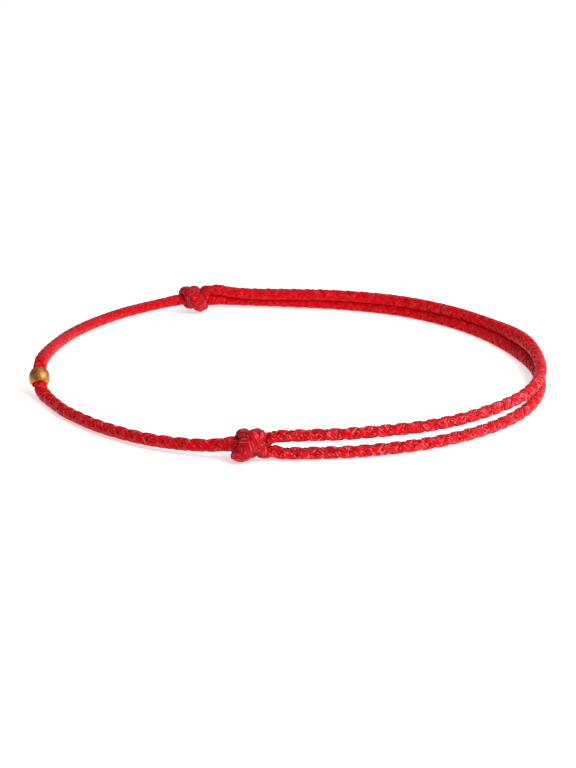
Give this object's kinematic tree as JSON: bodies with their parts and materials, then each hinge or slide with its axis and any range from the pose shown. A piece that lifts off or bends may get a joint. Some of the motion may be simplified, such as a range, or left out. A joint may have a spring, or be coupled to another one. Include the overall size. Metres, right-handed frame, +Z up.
{
  "type": "braided rope bracelet",
  "caption": "Thin braided cord bracelet with a small metal bead, closed by two sliding overhand knots that adjust its loop.",
  "frame": {"origin": "middle of the loop's extents, at the height of the surface that the bracelet lies on", "axes": "+Z up through the loop, along the wrist's axis; the bead is on the -X side, and the doubled stretch of cord on the +X side"},
  "size_m": [0.06, 0.0621, 0.0039],
  "materials": {
    "cord": "matte",
    "knot": "matte",
    "bead": "polished"
  },
  "bodies": {
    "root": {"cord_single": "cord", "strand_lower": "cord", "strand_upper": "cord", "knot_front": "knot", "knot_back": "knot", "gold_bead": "bead"}
  },
  "joints": []
}
